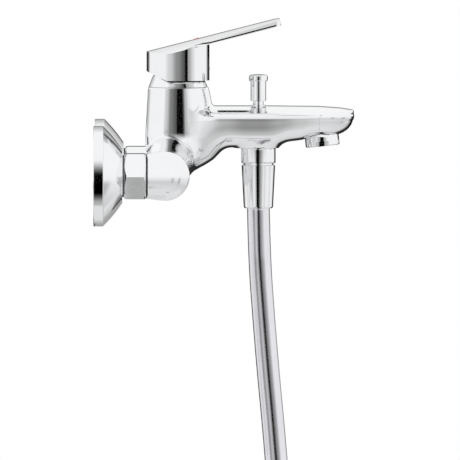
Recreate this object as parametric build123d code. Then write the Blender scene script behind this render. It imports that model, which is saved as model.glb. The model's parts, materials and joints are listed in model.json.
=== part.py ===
from build123d import *
import math
import os

# Wall-mounted single-lever mixer for bath and shower. Millimetres, +Z up, the wall is the plane
# Y = 0, the spout points towards -Y and the hot side is at -X. Heights in this file are measured
# from the axes of the two union nuts. write() lifts every part by the unions' eccentricity, so
# the origin of the finished part is midway between the axes of the two wall threads.

# Driving dimensions
INLET_PITCH = 150.0        # between the two inlets
ECCENTRICITY = 6.0         # of each S-shaped wall union
WALL_THREAD_R = 10.48      # G1/2
UNION_THREAD_R = 13.22     # G3/4
NUT_FLATS = 31.4           # across the flats of a union nut
COLUMN_Y = -58.5           # axis of the column, the cartridge and the lever's swivel
OUTLET_Y = -114.5          # axis of the diverter and of the shower outlet
AERATOR_Y = -158.7         # axis of the aerator, at the spout's underside
AERATOR_Z = 25.4
AERATOR_TILT = 6.0         # degrees, the outlet leans to the front
PLATE_HALF_WIDTH = 25.0    # of the spout's crowned top
PLATE_CROWN_R = 52.5       # radius of that crown
CAVITY_R = 17.8            # cartridge cavity in the column
CAVITY_FLOOR = 29.0
COLUMN_TOP = 59.6
PIVOT_Z = 56.0             # height of the pin that the lever tilts about
SPINDLE_LEAN = 12.5        # degrees forward of upright while the lever is closed
BALL_ARM = 10.0            # from that pin to the spindle's ball
SKIRT_R = 22.0
SKIRT_BORE_R = 20.4
LEVER_SLOPE = 14.3         # degrees
LEVER_CROWN_R = 48.0
DIVERTER_TRAVEL = 8.0
HOSE_R = 8.0
RUNNING = 0.06             # radial clearance of a running fit
THREAD_GAP = 0.1           # radial clearance left between two threads

X_INLET = INLET_PITCH / 2
SIDES = (("hot", -X_INLET), ("cold", X_INLET))


def write(name, shape):
    """Lift a finished sub-part into the part's own frame and write it."""
    export_step(Pos(0, 0, ECCENTRICITY) * shape, "parts/" + name + ".step")


def rod(radius, low, high):
    """A round bar about Z, between two heights."""
    upright = (Align.CENTER, Align.CENTER, Align.MIN)
    return Pos(0, 0, low) * Cylinder(radius, high - low, align=upright)


def ring(outer, inner, low, high):
    """A tube about Z, between two heights."""
    return rod(outer, low, high) - rod(inner, low - 1, high + 1)


def block(width, depth, low, high):
    """A rectangular bar centred on Z, between two heights."""
    upright = (Align.CENTER, Align.CENTER, Align.MIN)
    return Pos(0, 0, low) * Box(width, depth, high - low, align=upright)


def turned(points):
    """A solid of revolution about Z, from the (radius, height) corners of its outline."""
    outline = Polyline(*[(r, 0, z) for r, z in points], close=True)
    return revolve(make_face(outline), Axis.Z)


def off_wall(shape, x):
    """Turn a shape built along +Z, by its depth from the wall, on to an inlet's axis."""
    return Pos(x, 0, 0) * Rot(90, 0, 0) * shape


def on_column(shape):
    return Pos(0, COLUMN_Y, 0) * shape


def on_outlet(shape):
    return Pos(0, OUTLET_Y, 0) * shape


def on_aerator(shape):
    """Place a shape built about Z, with its top face at height 0, under the spout."""
    return Pos(0, AERATOR_Y, AERATOR_Z) * Rot(-AERATOR_TILT, 0, 0) * shape


def bore_between(radius, start, end):
    """A round passage from one point to another, for cutting."""
    path = Line(start, end)
    section = Plane(origin=path @ 0, z_dir=path % 0) * Circle(radius)
    return sweep(section, path=path)


def coil_spring(mean_r, wire_r, low, high, turns):
    """A round-wire compression spring between two heights, measured over the wire."""
    rise = high - low - 2 * wire_r
    path = Helix(pitch=rise / turns, height=rise, radius=mean_r)
    section = Plane(origin=path @ 0, z_dir=path % 0) * Circle(wire_r)
    return Pos(0, 0, low + wire_r) * sweep(section, path=path, is_frenet=True)


# ---- Wall side. These are built by depth from the wall along +Z, then turned by off_wall.

NUT_BACK = 21.4            # depth of the nut's face towards the wall
NUT_FRONT = 36.7
LIP = 2.8                  # thickness of the nut's inner lip
SEAT = 31.0                # depth where the washer meets the nipple's flange
WASHER = 2.0               # thickness of the filter washer
SOCKET_FACE = 37.2         # depth of the body's socket face
NIPPLE_END = 50.0
NIPPLE_BORE_R = 7.6
SOCKET_THREAD_R = 10.4


def wall_union():
    """Eccentric union: a wall thread, an offset web and the larger thread for the nut."""
    offset = Pos(0, -ECCENTRICITY, 0)
    stub = offset * rod(WALL_THREAD_R, -16, 2)
    stub = chamfer(stub.edges().group_by(Axis.Z)[0], 0.8)
    web = Pos(0, -ECCENTRICITY / 2, 0) * rod(13.9, 0.8, 7)
    thread = rod(UNION_THREAD_R, 5, SEAT - WASHER)
    thread = chamfer(thread.edges().group_by(Axis.Z)[-1], 0.8)
    waterway = offset * rod(8.0, -17, 6) + rod(9.5, 4, SEAT)
    return stub + web + thread - waterway


def escutcheon():
    """Thin flared cover plate with a straight, rounded rim against the wall."""
    rim_r, rim_depth, nose_r, nose_depth = 34.9, 6.5, 19.3, 19.9
    hole_r = UNION_THREAD_R + 0.4
    shoulder = (34.3, 0, 7.15)
    outer = Polyline((hole_r, 0, 0), (rim_r - 0.4, 0, 0), (rim_r, 0, 0.4), (rim_r, 0, rim_depth - 0.3))
    outer += ThreePointArc((rim_r, 0, rim_depth - 0.3), (34.78, 0, 6.75), shoulder)
    outer += ThreePointArc(shoulder, (27.3, 0, 13.6), (nose_r, 0, nose_depth - 0.4))
    outer += Polyline((nose_r, 0, nose_depth - 0.4), (nose_r - 0.5, 0, nose_depth),
                      (hole_r, 0, nose_depth), (hole_r, 0, 0))
    inner = Polyline((0, 0, -1), (33.5, 0, -1), (33.5, 0, 6.0))
    inner += ThreePointArc((33.5, 0, 6.0), (26.2, 0, 12.2), (17.7, 0, 18.3))
    inner += Polyline((17.7, 0, 18.3), (0, 0, 18.3), (0, 0, -1))
    return revolve(make_face(outer), Axis.Z) - revolve(make_face(inner), Axis.Z)


def union_nut():
    """Hexagonal nut with chamfered ends, threaded, with a lip that pulls on the nipple."""
    corner_r = NUT_FLATS / 2 / math.cos(math.radians(30))
    bevel_r = NUT_FLATS / 2 - 0.5
    bevel = (corner_r + 0.2 - bevel_r) * math.tan(math.radians(32))
    hexagon = RegularPolygon(NUT_FLATS / 2, 6, major_radius=False)
    nut = Pos(0, 0, NUT_BACK) * extrude(hexagon, NUT_FRONT - NUT_BACK)
    envelope = turned([
        (0, NUT_BACK), (bevel_r, NUT_BACK), (corner_r + 0.2, NUT_BACK + bevel),
        (corner_r + 0.2, NUT_FRONT - bevel), (bevel_r, NUT_FRONT), (0, NUT_FRONT)])
    nut = nut & envelope
    nut -= rod(UNION_THREAD_R + THREAD_GAP, NUT_BACK - 1, NUT_FRONT - LIP)
    nut -= rod(11.4, NUT_BACK, NUT_FRONT + 1)
    return nut


def inlet_nipple():
    """Flanged nipple that screws into the body and carries the non-return valve."""
    flange = rod(12.9, SEAT, NUT_FRONT - LIP - 0.05)
    neck = rod(11.0, SEAT + 1, SOCKET_FACE)
    thread = rod(SOCKET_THREAD_R, SOCKET_FACE - 1, NIPPLE_END)
    return flange + neck + thread - rod(NIPPLE_BORE_R, SEAT - 1, NIPPLE_END + 1)


def filter_washer():
    """Rubber washer with a thin dirt screen across it."""
    washer = ring(12.7, 8.6, SEAT - WASHER, SEAT)
    screen = rod(9.0, SEAT - 1.2, SEAT - 0.8)
    hole_pitch = 3.2
    for row in range(-2, 3):
        for column in range(-2, 3):
            if row * row + column * column <= 5:
                screen -= Pos(row * hole_pitch, column * hole_pitch, 0) * rod(1.1, SEAT - 2, SEAT)
    return washer + screen


# ---- Non-return valves: built along +Z in the flow's direction, from the seat face at 0.

CHECK_LENGTH = 14.0
POPPET_FACE = 1.7
SPIDER = 11.4              # height of the bars that guide the poppet's stem


def check_housing(outer_r):
    """Cage with a seat ring at one end and a guide for the stem at the other."""
    cage = ring(outer_r, outer_r - 1.1, 0, CHECK_LENGTH)
    seat = ring(outer_r - 0.5, outer_r - 3.2, 0, 1.6)
    bars = block(2 * outer_r - 1.4, 1.6, SPIDER, SPIDER + 1.8)
    bars += block(1.6, 2 * outer_r - 1.4, SPIDER, SPIDER + 1.8)
    hub = rod(2.2, SPIDER, SPIDER + 1.8)
    return cage + seat + bars + hub - rod(1.1 + RUNNING, SPIDER - 1, CHECK_LENGTH)


def check_poppet(outer_r):
    """Mushroom-shaped poppet that rests on the seat ring."""
    head = rod(outer_r - 1.9, POPPET_FACE, POPPET_FACE + 1.5)
    return head + rod(1.1, POPPET_FACE + 1, CHECK_LENGTH)


def check_spring():
    return coil_spring(1.9, 0.25, POPPET_FACE + 1.55, SPIDER - 0.05, 6)


INLET_CHECK_START = SEAT + 1.5
INLET_CHECK_R = 7.5


def in_nipple(shape, x):
    """Put a part of a non-return valve into an inlet nipple."""
    return off_wall(Pos(0, 0, INLET_CHECK_START) * shape, x)


def in_shower_outlet(shape):
    """Put a part of a non-return valve, flow downwards, into the shower outlet nipple."""
    return Pos(0, OUTLET_Y, SHOWER_CHECK_TOP) * Rot(180, 0, 0) * shape


# ---- The cast body

OUTLET_BOSS_R = 12.05
OUTLET_BOSS_END = 6.6
CHAMBER_R = 8.2
LOWER_SEAT = 21.6          # top of the shower outlet nipple
UPPER_SEAT = LOWER_SEAT + 4.4 + DIVERTER_TRAVEL
BUSH_LOW = 42.0
OUTLET_THREAD_R = 9.6      # of the outlet nipple, in the boss
SOCKET_R = 16.9
SOCKET_DOME_START = 49.5
RIM_Z = 40.3               # height of the plate's edge


def arms():
    """Both arms and the lower body: oval sections across X, thickest under the column."""
    half = [(72.0, -52.0, 0.0, 14.3, 16.4), (55.0, -52.0, 0.2, 14.5, 16.4),
            (38.0, -52.3, 1.2, 15.2, 17.6), (22.0, -52.4, 3.2, 16.2, 20.2)]
    middle = [(0.0, -52.0, 4.5, 16.8, 22.0)]
    stations = [(-x, y, z, ry, rz) for x, y, z, ry, rz in half] + middle + half[::-1]
    sections = []
    for x, y, z, depth_r, height_r in stations:
        upright = Plane(origin=(x, y, z), x_dir=(0, 1, 0), z_dir=(1, 0, 0))
        sections.append(upright * Ellipse(depth_r, height_r))
    return loft(sections)


def inlet_socket():
    """Straight socket with a domed front, by depth from the wall."""
    outline = Polyline((0, 0, SOCKET_FACE), (SOCKET_R - 0.6, 0, SOCKET_FACE),
                       (SOCKET_R, 0, SOCKET_FACE + 0.6), (SOCKET_R, 0, SOCKET_DOME_START))
    dome_height = SOCKET_R
    mid = math.radians(45)
    outline += ThreePointArc(
        (SOCKET_R, 0, SOCKET_DOME_START),
        (SOCKET_R * math.cos(mid), 0, SOCKET_DOME_START + dome_height * math.sin(mid)),
        (0, 0, SOCKET_DOME_START + dome_height))
    outline += Line((0, 0, SOCKET_DOME_START + dome_height), (0, 0, SOCKET_FACE))
    return revolve(make_face(outline), Axis.Z)


def column():
    """Slightly conical column with a rounded foot."""
    return on_column(turned([
        (0, COLUMN_TOP), (20.3, COLUMN_TOP), (20.8, COLUMN_TOP - 0.5), (22.6, 25.0),
        (21.5, 18.0), (17.0, 10.0), (8.0, 4.0), (0, 3.0)]))


def spout_section(y, half_width, floor_z):
    """One upright section of the spout: crowned top, short rim and a bowl-shaped underside."""
    crown = math.sqrt(PLATE_CROWN_R ** 2 - half_width ** 2)
    top_z = RIM_Z + 0.6 + PLATE_CROWN_R - crown
    rim_low = RIM_Z - 2.2
    sketch_plane = Plane(origin=(0, y, 0), x_dir=(1, 0, 0), z_dir=(0, -1, 0))
    outline = ThreePointArc((-half_width, RIM_Z + 0.6), (0, top_z), (half_width, RIM_Z + 0.6))
    outline += Line((half_width, RIM_Z + 0.6), (half_width, rim_low))
    bowl = EllipticalCenterArc((0, rim_low), half_width, rim_low - floor_z, 180, arc_size=180)
    outline += bowl
    outline += Line((-half_width, rim_low), (-half_width, RIM_Z + 0.6))
    return sketch_plane * make_face(outline)


def spout():
    """Spout: bowl-shaped sections trimmed to the rounded plan and to the side profile."""
    width = PLATE_HALF_WIDTH
    stations = [(-62.0, width, 2.0), (-80.0, width, 11.5), (-96.0, width, 18.5),
                (-120.0, width, 18.0), (-140.0, width, 22.6), (-184.0, width, 27.0)]
    solid = loft([spout_section(*station) for station in stations])
    nose_r = 24.5
    plan = Pos(0, -156.9, 0) * Circle(nose_r)
    plan += Pos(0, -117.5, 0) * RectangleRounded(2 * width, 79.0, 6.0)
    plan += Pos(0, -70.0, 0) * Rectangle(38.0, 30.0)
    solid = solid & (Pos(0, 0, -5) * extrude(plan, 60))
    profile = Polyline(
        (-50.0, 50.0), (-156.8, 46.4), (-172.0, 45.3), (-179.9, 43.9), (-181.4, 42.4),
        (-181.1, 39.0), (-178.9, 32.6), (-174.9, 28.2), (-170.9, 26.1), (-150.8, 25.0),
        (-134.9, 22.2), (-130.8, 20.6), (-127.0, 17.4), (-100.5, 17.4), (-94.5, 17.2),
        (-87.7, 15.0), (-71.0, 3.6), (-50.0, -10.0), close=True)
    side = Plane(origin=(-40, 0, 0), x_dir=(0, 1, 0), z_dir=(1, 0, 0)) * make_face(profile)
    return solid & extrude(side, 80)


def outlet_boss():
    """Round boss below the spout for the shower outlet."""
    boss = rod(OUTLET_BOSS_R, OUTLET_BOSS_END, 30)
    return on_outlet(fillet(boss.edges().group_by(Axis.Z)[0], 1.0))


def cartridge_cavity():
    """Cavity for the cartridge, with the wider thread for its nut at the top."""
    nut_thread_r = NUT_RING_R + THREAD_GAP
    return on_column(rod(CAVITY_R, CAVITY_FLOOR, 70) + rod(nut_thread_r, NUT_RING_LOW - 0.3, 70))


def inlet_passage(x):
    """Socket thread, the way along the arm and the port up to the cartridge."""
    side = math.copysign(1, x)
    socket = off_wall(rod(SOCKET_THREAD_R + THREAD_GAP, SOCKET_FACE - 1, NIPPLE_END + 0.3), x)
    along = bore_between(6.4, (x, -51.5, 0), (side * 6.5, -51.5, 0))
    link = bore_between(5.5, (x, -49.0, 0), (x, -53.0, 0))
    port = bore_between(3.4, (side * 7.0, -52.5, -2), (side * 7.0, -52.5, CAVITY_FLOOR + 1))
    return socket + along + link + port


def outlet_passage():
    """From the cartridge's outlet port, forward to the diverter's chamber."""
    drop = bore_between(3.8, (0, -67.5, CAVITY_FLOOR + 1), (0, -67.5, 20.5))
    forward = bore_between(3.8, (0, -66.5, 21.5), (0, -110.0, 28.5))
    return drop + forward


def diverter_ways():
    """Chamber, upper seat, bush hole and the way on to the aerator."""
    chamber = rod(CHAMBER_R, OUTLET_BOSS_END, UPPER_SEAT)
    chamber += rod(OUTLET_THREAD_R + THREAD_GAP, OUTLET_BOSS_END - 1, LOWER_SEAT)
    chamber += rod(5.4, UPPER_SEAT - 1, UPPER_SEAT + 2.5)
    chamber += rod(6.6, UPPER_SEAT + 1.8, BUSH_LOW)
    chamber += rod(BUSH_R + THREAD_GAP, BUSH_LOW - 1, 60)
    forward = bore_between(2.9, (0, OUTLET_Y - 3, 38.9), (0, AERATOR_Y, 36.2))
    return on_outlet(chamber) + forward


def aerator_socket():
    """Threaded socket in the spout's underside and the space above it."""
    return on_aerator(rod(AERATOR_THREAD_R + THREAD_GAP, -4, 7.6) + rod(8.0, 7, 10.5))


def mixer_body():
    """The whole casting: outer form, then its waterways."""
    body = arms() + column() + spout() + outlet_boss()
    for _, x in SIDES:
        body += off_wall(inlet_socket(), x)
    body -= cartridge_cavity()
    for _, x in SIDES:
        body -= inlet_passage(x)
    body -= outlet_passage()
    body -= diverter_ways()
    body -= aerator_socket()
    return body


# ---- Cartridge, built about Z and put on the column's axis

BASE_LOW = CAVITY_FLOOR + 0.8
BASE_TOP = 34.0
FIXED_DISC_TOP = 37.5
MOVING_DISC_TOP = 40.6
CARRIER_TOP = 48.6
HOUSING_R = 17.6
HOUSING_TOP = 54.2
NUT_RING_R = 18.9
NUT_RING_LOW = 54.3
NUT_RING_TOP = 61.0
GUIDE_LOW = 48.9
GUIDE_TOP = 60.2
GUIDE_NECK_R = 13.4
PORTS = ((-7.0, 6.0), (7.0, 6.0), (0.0, -9.0))
DISC_SHIFT = BALL_ARM * math.sin(math.radians(SPINDLE_LEAN))


def cartridge_base():
    """Plastic floor of the cartridge with three ports and a groove round each."""
    base = rod(HOUSING_R, BASE_LOW, BASE_TOP)
    for x, y in PORTS:
        base -= Pos(x, y, 0) * rod(3.3, BASE_LOW - 1, BASE_TOP + 1)
        base -= Pos(x, y, 0) * rod(4.7, BASE_LOW - 1, BASE_LOW + 1.6)
    return on_column(base)


def cartridge_base_seals():
    """Three rubber rings between the cartridge and the cavity's floor."""
    seals = [Pos(x, y, 0) * ring(4.6, 3.4, CAVITY_FLOOR, BASE_LOW + 1.6) for x, y in PORTS]
    return on_column(Compound(children=seals))


def fixed_ceramic_disc():
    disc = rod(14.8, BASE_TOP, FIXED_DISC_TOP)
    for x, y in PORTS:
        disc -= Pos(x, y, 0) * rod(3.1, BASE_TOP - 1, FIXED_DISC_TOP + 1)
    disc -= Pos(15.4, 0, 0) * rod(1.6, BASE_TOP - 1, FIXED_DISC_TOP + 1)
    return on_column(disc)


def moving_ceramic_disc():
    """Disc with the mixing chamber in its underside, shifted forward of centre when closed."""
    disc = rod(11.4, FIXED_DISC_TOP, MOVING_DISC_TOP)
    disc -= Pos(0, -1.0, 0) * block(9.0, 11.0, FIXED_DISC_TOP - 1, FIXED_DISC_TOP + 1.8)
    return on_column(Pos(0, DISC_SHIFT, 0) * disc)


def disc_carrier():
    """Plastic carrier that the spindle's ball pushes to and fro."""
    carrier = rod(11.6, MOVING_DISC_TOP, CARRIER_TOP)
    slot_half = 3.4
    carrier -= block(2 * slot_half, 2 * slot_half, 41.6, CARRIER_TOP + 1)
    carrier -= Pos(0, 0, 46.2) * Cone(3.4, 6.8, 5)
    return on_column(Pos(0, DISC_SHIFT, 0) * carrier)


def cartridge_housing():
    """Upper shell of the cartridge: it holds the discs and the swivelling guide."""
    shell = rod(HOUSING_R, BASE_TOP, HOUSING_TOP)
    shell -= rod(15.9, BASE_TOP - 1, HOUSING_TOP - 2.6)
    shell -= rod(GUIDE_NECK_R + RUNNING, HOUSING_TOP - 3, HOUSING_TOP + 1)
    window = Pos(0, 16, 0) * block(9.0, 6.0, 44.0, 48.0)
    return on_column(shell - window)


def swivel_guide():
    """Turning part of the cartridge that carries the spindle's pin."""
    guide = rod(15.6, GUIDE_LOW, HOUSING_TOP - 2.8) + rod(GUIDE_NECK_R, GUIDE_LOW + 1, GUIDE_TOP)
    guide -= block(8.6, 12.4, GUIDE_LOW - 1, PIVOT_Z - 4.0)
    guide -= block(8.6, 12.0, PIVOT_Z - 4.5, GUIDE_TOP + 1)
    guide -= Pos(0, 0, PIVOT_Z) * Rot(0, 90, 0) * rod(1.5, -11.5, 11.5)
    return on_column(guide)


def spindle_pin():
    pin = Rot(0, 90, 0) * rod(1.5, -11.4, 11.4)
    return on_column(Pos(0, 0, PIVOT_Z) * pin)


def temperature_stop_ring():
    """Toothed ring on the guide's neck that limits how far the lever turns towards hot."""
    low, high = GUIDE_TOP, GUIDE_TOP + 2.2
    stop = ring(12.6, 8.6, low, high)
    for tooth in range(24):
        stop -= Rot(0, 0, tooth * 15) * Pos(12.9, 0, 0) * rod(0.9, low - 1, high + 1)
    stop += Rot(0, 0, 200) * Pos(11.8, 0, 0) * block(3.0, 2.4, low, high)
    return on_column(stop)


def spindle():
    """Square stem above the pin and a ball-ended finger below it, leaning forward."""
    stem = block(7.6, 7.6, -3.0, 24.0)
    stem = fillet(stem.edges().filter_by(Axis.Z), 0.8)
    finger = rod(2.6, -BALL_ARM, -2.5)
    ball = Pos(0, 0, -BALL_ARM) * Sphere(3.0)
    whole = stem + finger + ball - Rot(0, 90, 0) * rod(1.5 + RUNNING, -6, 6)
    return on_column(Pos(0, 0, PIVOT_Z) * Rot(SPINDLE_LEAN, 0, 0) * whole)


def cartridge_retaining_nut():
    """Threaded brass ring with six notches for its spanner."""
    nut = rod(NUT_RING_R, NUT_RING_LOW, COLUMN_TOP - 0.6)
    nut += rod(17.4, NUT_RING_LOW, NUT_RING_TOP)
    nut -= rod(14.2, NUT_RING_LOW - 1, NUT_RING_TOP + 1)
    for notch in range(6):
        cut = Rot(0, 0, notch * 60) * Pos(17.0, 0, 0) * block(4.0, 3.2, 59.4, NUT_RING_TOP + 1)
        nut -= cut
    return on_column(nut)


def dome_collar():
    """Thin convex cover between the column and the lever, open in the middle."""
    base, top, inside = COLUMN_TOP + 0.1, 67.9, NUT_RING_TOP + 0.3
    outer = Polyline((13.9, 0, base), (20.6, 0, base))
    outer += ThreePointArc((20.6, 0, base), (18.9, 0, 64.2), (17.5, 0, top - 0.15))
    outer += Polyline((17.5, 0, top - 0.15), (17.1, 0, top), (13.9, 0, top), (13.9, 0, base))
    solid = revolve(make_face(outer), Axis.Z)
    hollow = turned([(0, base - 1), (17.5, base - 1), (17.5, inside), (16.0, 66.6), (0, 66.6)])
    return on_column(solid - hollow)


# ---- Lever

TIP_Y = -130.3
REAR_Y = COLUMN_Y + SKIRT_R
REAR_TOP_Z = 84.5
SLAB = 5.7                 # upright thickness of the lever on its centre line
SKIRT_BOTTOM = 64.4


def lever_top(y):
    """Height of the lever's ridge above the union axes."""
    return REAR_TOP_Z + (REAR_Y - y) * math.tan(math.radians(LEVER_SLOPE))


def lever_plan():
    """Outline from above: the skirt's circle running into a gently tapering bar."""
    root_half, tip_half, corner = 18.6, 13.0, 5.0
    root_y = -70.3
    bar = Polyline(
        (-root_half, root_y), (-tip_half, TIP_Y), (tip_half, TIP_Y), (root_half, root_y),
        (root_half, COLUMN_Y), (-root_half, COLUMN_Y), close=True)
    face = make_face(bar)
    face = fillet(face.vertices().group_by(Axis.Y)[0], corner)
    return Pos(0, COLUMN_Y, 0) * Circle(SKIRT_R) + face


def lever_slab():
    """Sloping slab with a crowned top, flat below."""
    rise = lever_top(-125.4)
    side = Polyline(
        (REAR_Y + 1, lever_top(REAR_Y + 1)), (-125.4, rise), (-129.2, rise + 0.3),
        (TIP_Y, 102.8), (-126.3, 101.6), (REAR_Y + 1, lever_top(REAR_Y + 1) - SLAB), close=True)
    wide = Plane(origin=(-30, 0, 0), x_dir=(0, 1, 0), z_dir=(1, 0, 0)) * make_face(side)
    slab = extrude(wide, 60) & (Pos(0, 0, 60) * extrude(lever_plan(), 60))
    slope = math.radians(LEVER_SLOPE)
    along = (0, -math.cos(slope), math.sin(slope))
    middle_y = -85.0
    sunk = LEVER_CROWN_R / math.cos(slope)
    axis_start = (0, middle_y + 80, lever_top(middle_y + 80) - sunk)
    crown_plane = Plane(origin=axis_start, z_dir=along)
    crown = extrude(crown_plane * Circle(LEVER_CROWN_R), 170)
    return slab & crown


def skirt():
    """Round skirt below the slab, cut away at the rear so that the lever can tilt back."""
    roof_cut = Polyline(
        (-100, 60), (-100, lever_top(-100) - SLAB + 0.4), (-30, lever_top(-30) - SLAB + 0.4),
        (-30, 60), close=True)
    under = Plane(origin=(-30, 0, 0), x_dir=(0, 1, 0), z_dir=(1, 0, 0)) * make_face(roof_cut)
    drum = on_column(rod(SKIRT_R, SKIRT_BOTTOM, 110)) & extrude(under, 60)
    rear_cut = Polyline((-50.6, SKIRT_BOTTOM - 0.1), (-30, SKIRT_BOTTOM + 9.5), (-30, 50),
                        (-50.6, 50), close=True)
    wedge = Plane(origin=(-30, 0, 0), x_dir=(0, 1, 0), z_dir=(1, 0, 0)) * make_face(rear_cut)
    return drum - extrude(wedge, 60)


def skirt_hollow():
    """Space inside the skirt, with a sloping roof parallel to the slab."""
    roof = Polyline(
        (-100, 50), (-100, lever_top(-100) - 8.2), (-30, lever_top(-30) - 8.2), (-30, 50),
        close=True)
    under = Plane(origin=(-30, 0, 0), x_dir=(0, 1, 0), z_dir=(1, 0, 0)) * make_face(roof)
    return on_column(rod(SKIRT_BORE_R, 50, 110)) & extrude(under, 60)


def leaning(shape):
    """Tilt a shape built about the spindle's own axis, from its pin, into place."""
    return on_column(Pos(0, 0, PIVOT_Z) * Rot(SPINDLE_LEAN, 0, 0) * shape)


GRUB_HEIGHT = 19.0         # of the grub screw, above the pin, along the spindle
GRUB_R = 2.45


def lever_handle():
    """The lever with its skirt, its socket for the spindle and the grub screw's hole."""
    boss = leaning(rod(7.4, 14.5, 36)) & on_column(rod(SKIRT_R - 1, 50, 82))
    handle = lever_slab() + (skirt() - skirt_hollow()) + boss
    handle -= leaning(block(7.7, 7.7, 10, 24.4))
    handle -= leaning(Pos(0, -3.0, GRUB_HEIGHT) * Rot(90, 0, 0) * rod(GRUB_R + 0.05, 0, 30))
    mark = Pos(0, MARK_Y, lever_top(MARK_Y)) * Rot(-LEVER_SLOPE, 0, 0)
    return handle - mark * rod(2.05, -1.2, 3)


MARK_Y = -71.3


def index_button():
    """Small two-colour temperature mark set into the top of the lever."""
    button = fillet(rod(2.0, -1.2, 0.25).edges().group_by(Axis.Z)[-1], 0.2)
    return Pos(0, MARK_Y, lever_top(MARK_Y)) * Rot(-LEVER_SLOPE, 0, 0) * button


def handle_screw_plug():
    """Plastic plug that closes the grub screw's hole in the front of the skirt."""
    plug = rod(GRUB_R, 13.9, 15.1)
    return leaning(Pos(0, -3.0, GRUB_HEIGHT) * Rot(90, 0, 0) * plug)


def handle_grub_screw():
    """Hexagon-socket set screw that clamps the handle on the spindle."""
    screw = rod(GRUB_R, 0.85, 8.0) - Pos(0, 0, 5.5) * extrude(RegularPolygon(1.25, 6), 4)
    return leaning(Pos(0, -3.0, GRUB_HEIGHT) * Rot(90, 0, 0) * screw)


# ---- Diverter

BUSH_R = 4.85
ROD_R = 3.65
ROD_THIN_R = 2.2
PLUNGER_LOW = LOWER_SEAT + 0.1


def diverter_knob():
    """Pull knob: a domed head on a straight shank."""
    outline = Polyline((0, 0, 49.9), (5.0, 0, 49.9), (5.4, 0, 50.3), (5.4, 0, 63.9),
                       (6.2, 0, 63.9), (6.6, 0, 64.3), (6.6, 0, 67.0))
    edge_r, edge_z, top = 5.4, 68.1, 68.6
    dome_r = (edge_r ** 2 + (top - edge_z) ** 2) / (2 * (top - edge_z))
    middle_z = top - dome_r + math.sqrt(dome_r ** 2 - (edge_r / 2) ** 2)
    outline += ThreePointArc((6.6, 0, 67.0), (6.25, 0, 67.75), (edge_r, 0, edge_z))
    outline += ThreePointArc((edge_r, 0, edge_z), (edge_r / 2, 0, middle_z), (0, 0, top))
    outline += Line((0, 0, top), (0, 0, 49.9))
    knob = revolve(make_face(outline), Axis.Z)
    return on_outlet(knob - rod(ROD_THIN_R, 49, 60))


def diverter_rod():
    """Rod from the plunger up to the knob, thicker where it slides in the bush."""
    stem = rod(ROD_THIN_R, PLUNGER_LOW + 0.6, 59.8) + rod(ROD_R, 36.2, 49.9)
    return on_outlet(stem)


def diverter_bush():
    """Guide bush set in the spout's top, with a groove inside for its O-rings."""
    bush = ring(BUSH_R, ROD_R + RUNNING, BUSH_LOW, 47.2)
    return on_outlet(bush - ring(4.3, 3.0, 43.4, 45.0))


def diverter_o_rings():
    """O-ring in the bush."""
    return on_outlet(ring(4.28, ROD_R + 0.02, 43.5, 44.9))


def diverter_plunger():
    """Brass disc that carries a washer on each face."""
    plunger = rod(6.6, PLUNGER_LOW + 1.2, PLUNGER_LOW + 2.8) + rod(3.4, PLUNGER_LOW, PLUNGER_LOW + 4.0)
    return on_outlet(plunger - rod(ROD_THIN_R, LOWER_SEAT - 1, 40))


def diverter_washers():
    """Rubber washers on the two faces of the plunger."""
    lower = ring(6.8, 3.4, PLUNGER_LOW, PLUNGER_LOW + 1.2)
    upper = ring(6.8, 3.4, PLUNGER_LOW + 2.8, PLUNGER_LOW + 4.0)
    return on_outlet(Compound(children=[lower, upper]))


def diverter_spring():
    """Light spring between the plunger and the bush that returns the diverter to the bath."""
    return on_outlet(coil_spring(4.45, 0.35, PLUNGER_LOW + 4.05, BUSH_LOW - 0.05, 7))


# ---- Shower outlet

OUTLET_TIP = -4.0
SHOWER_CHECK_R = 6.4
SHOWER_CHECK_TOP = 16.0


def shower_outlet_nipple():
    """Nipple with the diverter's lower seat at its top and the G1/2 hose thread below."""
    nipple = rod(OUTLET_THREAD_R, OUTLET_BOSS_END - 1, LOWER_SEAT - 1)
    nipple += rod(7.0, LOWER_SEAT - 2, LOWER_SEAT)
    nipple += rod(WALL_THREAD_R, OUTLET_TIP, OUTLET_BOSS_END - 0.1)
    nipple -= rod(5.2, OUTLET_TIP - 1, LOWER_SEAT + 1)
    nipple -= rod(SHOWER_CHECK_R + 0.05, OUTLET_TIP - 1, SHOWER_CHECK_TOP)
    return on_outlet(nipple - ring(12, 9.0, 14.4, 16.2))


def shower_nipple_o_ring():
    return on_outlet(ring(OUTLET_THREAD_R, 9.05, 14.5, 16.1))


# ---- Aerator

AERATOR_THREAD_R = 10.7


def aerator_housing():
    """Threaded shell with a wider lip that has two wrench flats."""
    lip = fillet(rod(11.9, -6.9, 0.6).edges().group_by(Axis.Z)[0], 0.8)
    for side in (-1, 1):
        lip -= Pos(side * 12.4, 0, 0) * block(2.8, 9.7, -8.0, -3.4)
    shell = lip + rod(AERATOR_THREAD_R, 0, 6.6)
    return on_aerator(shell - rod(9.3, -5.2, 8) - rod(8.4, -8, 0))


def aerator_insert():
    """Plastic jet former inside the shell."""
    insert = rod(9.2, -5.0, 6.0)
    for ring_r, count in ((3.0, 6), (6.2, 12)):
        for hole in range(count):
            insert -= Rot(0, 0, hole * 360 / count) * Pos(ring_r, 0, 0) * rod(0.8, -6, 7)
    return on_aerator(insert)


def aerator_screens():
    """Fine mesh at the outlet, seen from below."""
    screen = rod(8.35, -6.4, -5.3)
    pitch = 2.0
    for row in range(-3, 4):
        for column in range(-3, 4):
            if row * row + column * column <= 13:
                screen -= Pos(row * pitch, column * pitch, 0) * block(1.4, 1.4, -7, -5)
    return on_aerator(screen)


def aerator_washer():
    return on_aerator(ring(10.4, 7.2, 6.65, 7.5))


# ---- Shower hose

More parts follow.
